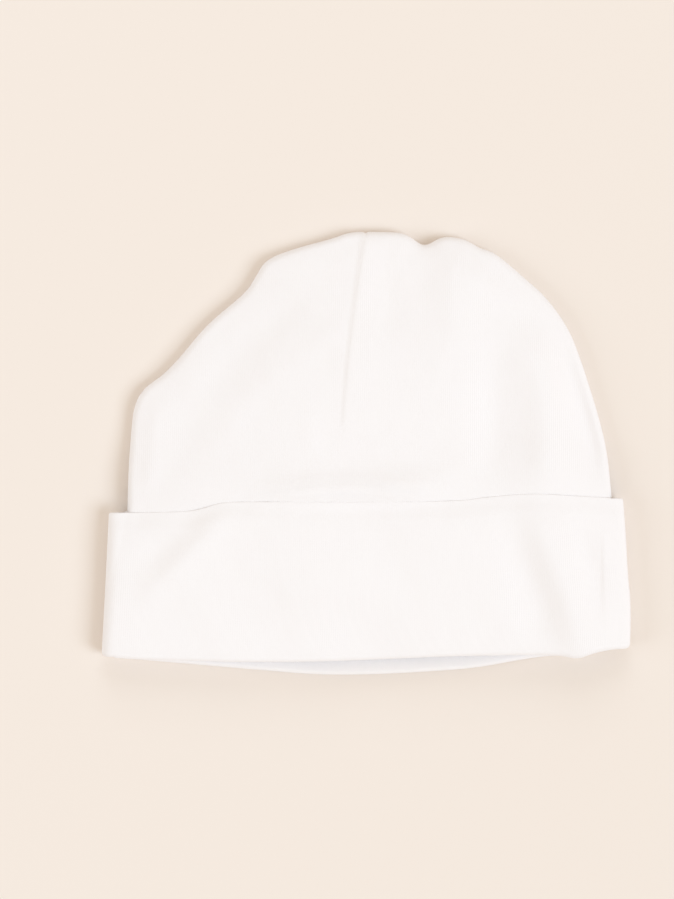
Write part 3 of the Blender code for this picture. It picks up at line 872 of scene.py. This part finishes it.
def cuff_places():
    """Across share and bend angle of each column, from the side seam round to itself.

    The angle is a quarter turn on the front, minus a quarter turn on the back, between at the sides.
    """
    beside = crowded(SEAM_COLUMNS, SEAM_ZONE, SEAM_COLUMN) * SEAM_ZONE / HALF_WIDTH
    left_part = np.linspace(-flat_across, seam_across - beside[-1], FRONT_COLUMNS)
    left_part = np.concatenate([left_part, seam_across - beside[-2:0:-1]])
    right_part = seam_across + beside
    right_part = right_part[right_part < flat_across]
    bend = np.linspace(math.pi / 2, -math.pi / 2, 2 * BEND_COLUMNS + 1)
    back = np.linspace(flat_across, -flat_across, BACK_COLUMNS)
    across = [right_part, np.ones(len(bend)), back[1:-1], -np.ones(len(bend)), left_part[1:]]
    angle = [np.full(len(right_part), math.pi / 2), bend, np.full(len(back) - 2, -math.pi / 2)]
    angle += [bend[::-1], np.full(len(left_part) - 1, math.pi / 2)]
    across, angle = np.concatenate(across), np.concatenate(angle)
    across, angle = np.append(across, across[0]), np.append(angle, angle[0])
    return across, angle


across, angle = cuff_places()
print("columns round the cuff:", len(across))

# %% [markdown]
# The band's side seam is a pressed step like the dart's: a short ramp, a fine groove, a slow fall
# on the right, and small puckers along it. It sways a little, and fades out at both of its ends.

# %% The cuff's side seam
SEAM_GROOVE = 0.00008
SEAM_GROOVE_WIDTH = 0.00045
SEAM_STEP = 0.00040
SEAM_FLANK = 0.0014
SEAM_FALL = 0.0080
SEAM_SWAY = 0.0006
SEAM_SWAY_LENGTH = 0.107
SEAM_PUCKER = 0.00004
SEAM_LOW = 0.004
SEAM_HIGH = 0.050
SEAM_FADE = 0.016


def cuff_seam_relief(x, y):
    """A groove, the pressed seam cloth on its right and a small wave along it."""
    sway = SEAM_SWAY * np.sin(2 * math.pi * y / SEAM_SWAY_LENGTH)
    away = x - seam_across * HALF_WIDTH + sway
    groove = -SEAM_GROOVE * np.exp(-((away / SEAM_GROOVE_WIDTH) ** 2))
    step = SEAM_STEP * pressed_seam(away, SEAM_FLANK, SEAM_FALL)
    pucker = SEAM_PUCKER * np.sin(2 * math.pi * y / PUCKER_STEP)
    shown = smooth_step((y - SEAM_LOW) / SEAM_FADE) * smooth_step((SEAM_HIGH - y) / SEAM_FADE)
    return shown * (groove + step + pucker * np.exp(-((away / PUCKER_REACH) ** 2)))


print("side seam's x, mm:", round(1000 * seam_across * HALF_WIDTH, 1))

# %% [markdown]
# The free edge of a turned-up cuff is pressed thin against the crown, a little less in some places
# than in others. At the bottom fold the two layers of the cap part: the back one hangs lower, and
# its hem curls up from the table, so that it shows under the front as a thin line.

# %% Surface of the cuff
EDGE_SETTLE = 0.00060
EDGE_SETTLE_REACH = 0.012
EDGE_PRESS = 0.00090
EDGE_PRESS_REACH = 0.0065
FREE_EDGE_WAVES = Waves(0.045, 0.0, 0.1, 0.00002, 21)
BACK_CURL = 0.0016
BACK_CURL_REACH = 0.0120


def free_edge_press(x, below_top, inset, outer):
    """How far the cloth near the free edge lies lower, as a negative height with small waves."""
    near = smooth_step(1 - below_top / EDGE_SETTLE_REACH) * (inset <= CUFF_CLOTH)
    settled = near * (waves(FREE_EDGE_WAVES, x, 0 * below_top) - EDGE_SETTLE)
    return settled - EDGE_PRESS * smooth_step(1 - below_top / EDGE_PRESS_REACH) * outer


def cuff_surface():
    """The section carried round: height from its shares, then in from the sides by its inset."""
    front = angle > 0
    top = np.where(front, read(front_top, across), read(back_top, across))
    low = read(front_bottom, across)
    low = np.where(front, low, low - read(back_fall, across))
    join = np.full(len(across), JOIN_HEIGHT - HALF_CLOTH)
    ends = np.stack([top - HALF_CLOTH, low + TURN_RADIUS, join])
    y = section[:, :3] @ ends + section[:, 3:4]
    inset = section[:, 4:5]
    radius = CUFF_RADIUS - inset
    left, right = read(cuff_left_side, y), read(cuff_right_side, y)
    bent = np.abs(across) == 1.0
    flat_x = between(left, right, (across + 1) / 2)
    from_edge = inset + radius * (1 - np.cos(angle))
    side_x = np.where(across > 0, right - from_edge, left + from_edge)
    x = np.where(bent, side_x, flat_x)
    outer = np.clip(1 - inset / CUFF_CLOTH, 0.0, 1.0)
    pressed = free_edge_press(x, top - y, inset, outer) * np.sin(angle)
    relief = front_loft(x, y) + outer * cuff_seam_relief(x, y) + pressed
    curl = BACK_CURL * read(back_fall, across) / BACK_DROP
    curl = curl * smooth_step(1 - (y - low) / BACK_CURL_REACH)
    z = CUFF_RADIUS + radius * np.sin(angle) + np.where(front, relief, curl)
    return np.stack([x, y, z], axis=-1)


cuff_grid = cuff_surface()
highest_row = int(np.argmax(cuff_grid[:, 0, 2]))
column_run = running_length(cuff_grid[highest_row])
row_run = running_length(cuff_grid[:, 0])
cuff_cloth = np.stack(np.meshgrid(column_run, row_run), axis=-1)
print("band, mm:", round(1000 * column_run[-1]), "round and", round(1000 * row_run[-1]), "across")
cuff = piece_from_grids("jersey_cuff", [(cuff_grid, cuff_cloth)])
report_piece(cuff)

# %% [markdown]
# ## The jersey
# Jersey is a knit: on its right side every stitch is a small V, and the V's stand in columns that
# are called wales. At this size a wale is two thirds of a millimetre wide, so it is bump and not
# mesh. One node group works out the stitches' height from the cloth's own coordinates, and a
# second one gives the cotton a slow, faint tone that differs at random, and darkens the stitches'
# furrows as painted shade.

# %% Node helpers
def add_node(tree, kind, **values):
    """A new node with these settings."""
    node = tree.nodes.new(kind)
    for name, value in values.items():
        setattr(node, name, value)
    return node


def math_node(tree, operation, first, second=None):
    """A Math node fed by sockets or numbers, as its output socket."""
    node = add_node(tree, "ShaderNodeMath", operation=operation)
    for slot, value in enumerate((first, second)):
        if value is None:
            continue
        if isinstance(value, (int, float)):
            node.inputs[slot].default_value = value
        else:
            tree.links.new(value, node.inputs[slot])
    return node.outputs[0]


def new_group(name, inputs, outputs):
    """A shader node group with float or vector sockets, and its input and output nodes."""
    group = bpy.data.node_groups.new(name, "ShaderNodeTree")
    for label, kind, value in inputs:
        socket = group.interface.new_socket(label, in_out="INPUT", socket_type=kind)
        if value is not None:
            socket.default_value = value
    for label, kind in outputs:
        group.interface.new_socket(label, in_out="OUTPUT", socket_type=kind)
    return group, add_node(group, "NodeGroupInput"), add_node(group, "NodeGroupOutput")


# %% The stitches
UNEVEN_SCALE = 260.0
V_LEAN = 0.6


def stitches_group():
    """Height of knit stitches: round wales, and V's that lean towards the middle of each wale."""
    group, given, out = new_group(
        "jersey_stitches",
        [
            ("Cloth", "NodeSocketVector", None),
            ("Wale", "NodeSocketFloat", 0.0007),
            ("Course", "NodeSocketFloat", 0.0005),
            ("Unevenness", "NodeSocketFloat", 0.0002),
        ],
        [("Height", "NodeSocketFloat"), ("Furrow", "NodeSocketFloat")],
    )
    noise = add_node(group, "ShaderNodeTexNoise", noise_dimensions="2D")
    noise.inputs["Scale"].default_value = UNEVEN_SCALE
    noise.inputs["Detail"].default_value = 1.0
    group.links.new(given.outputs["Cloth"], noise.inputs["Vector"])
    place = add_node(group, "ShaderNodeSeparateXYZ")
    group.links.new(given.outputs["Cloth"], place.inputs[0])
    shift = math_node(group, "SUBTRACT", noise.outputs[0], 0.5)
    shift = math_node(group, "MULTIPLY", shift, given.outputs["Unevenness"])
    sideways = math_node(group, "ADD", place.outputs["X"], shift)
    wale = math_node(group, "FRACT", math_node(group, "DIVIDE", sideways, given.outputs["Wale"]))
    away = math_node(group, "ABSOLUTE", math_node(group, "SUBTRACT", wale, 0.5))
    away = math_node(group, "MULTIPLY", away, 2.0)
    round_wale = math_node(group, "COSINE", math_node(group, "MULTIPLY", away, math.pi / 2))
    upwards = math_node(group, "ADD", place.outputs["Y"], shift)
    course = math_node(group, "DIVIDE", upwards, given.outputs["Course"])
    course = math_node(group, "ADD", course, math_node(group, "MULTIPLY", away, V_LEAN))
    stitch = math_node(group, "SINE", math_node(group, "MULTIPLY", course, 2 * math.pi))
    stitch = math_node(group, "MULTIPLY", math_node(group, "ADD", stitch, 1.0), 0.25)
    height = math_node(group, "MULTIPLY", round_wale, math_node(group, "ADD", stitch, 0.5))
    group.links.new(height, out.inputs["Height"])
    group.links.new(math_node(group, "SUBTRACT", 1.0, height), out.inputs["Furrow"])
    return group


# %% Uneven tone of the cotton, and painted shade in the stitches' furrows
SLOW_SCALE = 28.0
FUZZ_SCALE = 5200.0
FURROW_SHARE = 0.5


def tone_and_furrow_shade_group():
    """A slow noise as uneven tone, the stitches' furrows as painted shade, and a fine noise as fuzz.
    """
    group, given, out = new_group(
        "cotton_tone_and_furrow_shade",
        [
            ("Place", "NodeSocketVector", None),
            ("Furrow", "NodeSocketFloat", 0.0),
            ("Strength", "NodeSocketFloat", 0.3),
        ],
        [("Shade", "NodeSocketFloat"), ("Fuzz", "NodeSocketFloat")],
    )
    slow = add_node(group, "ShaderNodeTexNoise")
    slow.inputs["Scale"].default_value = SLOW_SCALE
    slow.inputs["Detail"].default_value = 3.0
    fine = add_node(group, "ShaderNodeTexNoise")
    fine.inputs["Scale"].default_value = FUZZ_SCALE
    fine.inputs["Detail"].default_value = 2.0
    for noise in (slow, fine):
        group.links.new(given.outputs["Place"], noise.inputs["Vector"])
    # The furrows darkened here are painted shade; the slow noise is the cotton's own uneven tone.
    furrow = math_node(group, "MULTIPLY", given.outputs["Furrow"], FURROW_SHARE)
    shade = math_node(group, "ADD", slow.outputs[0], furrow)
    shade = math_node(group, "MULTIPLY", shade, given.outputs["Strength"])
    group.links.new(shade, out.inputs["Shade"])
    group.links.new(fine.outputs[0], out.inputs["Fuzz"])
    return group


stitches, tone = stitches_group(), tone_and_furrow_shade_group()
print("node groups:", stitches.name, tone.name)

# %% [markdown]
# Both pieces have the same material with their own stitch size: the band's jersey is a little
# coarser than the crown's. The two cotton colours are nearly one white, so the knit shows mostly
# as bump. The darker one is painted into the stitches' furrows as shade, and follows a slow noise
# as uneven tone. Its furrows are rougher than the loops that stand up, and a thin sheen stands for
# fuzz.

# %% The cloth's material
CLEAN_COTTON = (0.920, 0.894, 0.894, 1.0)
SHADED_COTTON = (0.892, 0.864, 0.860, 1.0)
ROUGHNESS, FURROW_ROUGHNESS = 0.86, 0.08
SPECULAR = 0.25
SHEEN, SHEEN_ROUGHNESS = 0.12, 0.5
FUZZ_HEIGHT = 0.25
BUMP_STRENGTH = 0.6
Knit = namedtuple("Knit", "wale course depth shade")
CROWN_KNIT = Knit(0.00068, 0.00050, 0.00007, 0.35)
CUFF_KNIT = Knit(0.00072, 0.00052, 0.00006, 0.30)


def jersey(name, knit):
    """Matt cotton jersey: stitches and fuzz as bump, painted shade in rougher furrows, and a soft
    sheen.
    """
    material = bpy.data.materials.new(name)
    material.use_nodes = True
    tree = material.node_tree
    shader = tree.nodes["Principled BSDF"]
    shader.inputs["Metallic"].default_value = 0.0
    shader.inputs["Specular IOR Level"].default_value = SPECULAR
    shader.inputs["Sheen Weight"].default_value = SHEEN
    shader.inputs["Sheen Roughness"].default_value = SHEEN_ROUGHNESS
    cloth = add_node(tree, "ShaderNodeUVMap", uv_map="cloth")
    place = add_node(tree, "ShaderNodeTexCoord")
    knitted = add_node(tree, "ShaderNodeGroup", node_tree=stitches)
    knitted.inputs["Wale"].default_value = knit.wale
    knitted.inputs["Course"].default_value = knit.course
    toned_and_furrow_shaded = add_node(tree, "ShaderNodeGroup", node_tree=tone)
    toned_and_furrow_shaded.inputs["Strength"].default_value = knit.shade
    tree.links.new(cloth.outputs[0], knitted.inputs["Cloth"])
    tree.links.new(place.outputs["Object"], toned_and_furrow_shaded.inputs["Place"])
    tree.links.new(knitted.outputs["Furrow"], toned_and_furrow_shaded.inputs["Furrow"])
    # This mix paints the shaded cotton into the stitches' furrows as shade, and by a slow noise as
    # uneven tone.
    mix = add_node(tree, "ShaderNodeMix", data_type="RGBA")
    mix.inputs[6].default_value = CLEAN_COTTON
    mix.inputs[7].default_value = SHADED_COTTON
    tree.links.new(toned_and_furrow_shaded.outputs["Shade"], mix.inputs[0])
    tree.links.new(mix.outputs[2], shader.inputs["Base Color"])
    rough = math_node(tree, "MULTIPLY", knitted.outputs["Furrow"], FURROW_ROUGHNESS)
    rough = math_node(tree, "ADD", rough, ROUGHNESS)
    tree.links.new(rough, shader.inputs["Roughness"])
    height = math_node(tree, "MULTIPLY", toned_and_furrow_shaded.outputs["Fuzz"], FUZZ_HEIGHT)
    height = math_node(tree, "ADD", knitted.outputs["Height"], height)
    bump = add_node(tree, "ShaderNodeBump")
    bump.inputs["Strength"].default_value = BUMP_STRENGTH
    bump.inputs["Distance"].default_value = knit.depth
    tree.links.new(height, bump.inputs["Height"])
    tree.links.new(bump.outputs[0], shader.inputs["Normal"])
    return material


crown.data.materials.append(jersey("crown_jersey_knit", CROWN_KNIT))
cuff.data.materials.append(jersey("cuff_jersey_knit", CUFF_KNIT))
print("materials:", crown.data.materials[0].name, cuff.data.materials[0].name)

# %% [markdown]
# ## Each piece stands for its packed one
# The fine crown and cuff take the places of the two packed walls and ride with the cap's only
# body. Each is printed with the finish that the record gives it.

# %% Put the pieces into the frame
for piece, node, finish in ((crown, "crown", "crown_jersey"), (cuff, "cuff", "cuff_jersey")):
    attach(piece, "root")
    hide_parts(node)
    print(piece.name, "stands for", node, "with", finish)

# %% [markdown]
# ## The table, the light and the camera
# The cap lies on a smooth cream ground under large soft lights, so it is nearly all white, and
# its folds are only a little greyer. White cloth shows its shape only where light comes from one
# side, so the main lamp stands to the right and a little towards the bottom, and two small ones
# at the left and at the far side keep those edges from going grey. The sky that fills the
# shadows is warm and the lamps are cool: together they leave the cloth white, and the shade round
# the cap, where the lamps don't reach, turns the colour of sand.

# %% The ground
GROUND_SIZE = 3.0
GROUND_DROP = 0.0002
GROUND_COLOUR = (0.86, 0.78, 0.71, 1.0)
GROUND_ROUGHNESS = 0.95
GROUND_SPECULAR = 0.1


def make_ground():
    """A flat sheet of smooth cream paper just under the cap."""
    half = GROUND_SIZE / 2
    mesh = bpy.data.meshes.new("ground")
    corners = [(-half, -half), (half, -half), (half, half), (-half, half)]
    mesh.from_pydata([(x, y, -GROUND_DROP) for x, y in corners], [], [(0, 1, 2, 3)])
    ground = bpy.data.objects.new("ground", mesh)
    bpy.context.scene.collection.objects.link(ground)
    paper = bpy.data.materials.new("cream_paper")
    paper.use_nodes = True
    shader = paper.node_tree.nodes["Principled BSDF"]
    shader.inputs["Base Color"].default_value = GROUND_COLOUR
    shader.inputs["Roughness"].default_value = GROUND_ROUGHNESS
    shader.inputs["Specular IOR Level"].default_value = GROUND_SPECULAR
    mesh.materials.append(paper)
    print("ground, m:", GROUND_SIZE)


make_ground()

# %% The lights
Lamp = namedtuple("Lamp", "name place size power")
LAMPS = [
    Lamp("right_lamp", (3.20, -1.35, 3.30), 2.4, 125.0),
    Lamp("left_lamp", (-1.50, -0.30, 0.90), 1.0, 9.0),
    Lamp("far_lamp", (0.00, 1.50, 1.00), 1.0, 6.5),
]
LAMP_COLOUR = (0.74, 0.90, 1.08)
SKY_COLOUR = (1.155, 0.965, 0.745, 1.0)
SKY_STRENGTH = 0.549


def make_lamp(lamp):
    """A square area light that faces the middle of the cap."""
    data = bpy.data.lights.new(lamp.name, "AREA")
    data.size = lamp.size
    data.energy = lamp.power
    data.color = LAMP_COLOUR
    light = bpy.data.objects.new(lamp.name, data)
    light.location = lamp.place
    light.rotation_euler = (-light.location).to_track_quat("-Z", "Y").to_euler()
    bpy.context.scene.collection.objects.link(light)
    print(lamp.name, "power, W:", lamp.power)


def make_sky():
    """An even warm light from all sides."""
    sky = bpy.data.worlds.new("pale_sky")
    sky.use_nodes = True
    background = sky.node_tree.nodes["Background"]
    background.inputs["Color"].default_value = SKY_COLOUR
    background.inputs["Strength"].default_value = SKY_STRENGTH
    bpy.context.scene.world = sky


for lamp in LAMPS:
    make_lamp(lamp)
make_sky()
bpy.context.scene.view_settings.view_transform = "Standard"

# %% [markdown]
# The camera looks straight down, from far enough away to keep the cap's sides square. Its height
# comes from the photograph's scale: so many pixels of this size have to fit into the lens.

# %% The camera
PIXEL = 0.0003302
PHOTO_HEIGHT_PIXELS = 899
PHOTO_MIDDLE = (337.0, 449.5)
CAP_MIDDLE_PIXEL = (366.0, 453.0)
LENS, LONG_SENSOR = 100.0, 36.0
OUTLINE_LEVEL = 0.005


def make_camera():
    """Straight above, far enough for the photograph's field at the level of the cap's outline."""
    data = bpy.data.cameras.new("camera")
    data.lens = LENS
    data.sensor_width = LONG_SENSOR
    camera = bpy.data.objects.new("camera", data)
    away = PHOTO_HEIGHT_PIXELS * PIXEL * LENS / LONG_SENSOR
    right = (PHOTO_MIDDLE[0] - CAP_MIDDLE_PIXEL[0]) * PIXEL
    up = (CAP_MIDDLE_PIXEL[1] - PHOTO_MIDDLE[1]) * PIXEL
    camera.location = (right, up, OUTLINE_LEVEL + away)
    bpy.context.scene.collection.objects.link(camera)
    bpy.context.scene.camera = camera
    print("camera at, m:", [round(value, 4) for value in camera.location])


make_camera()
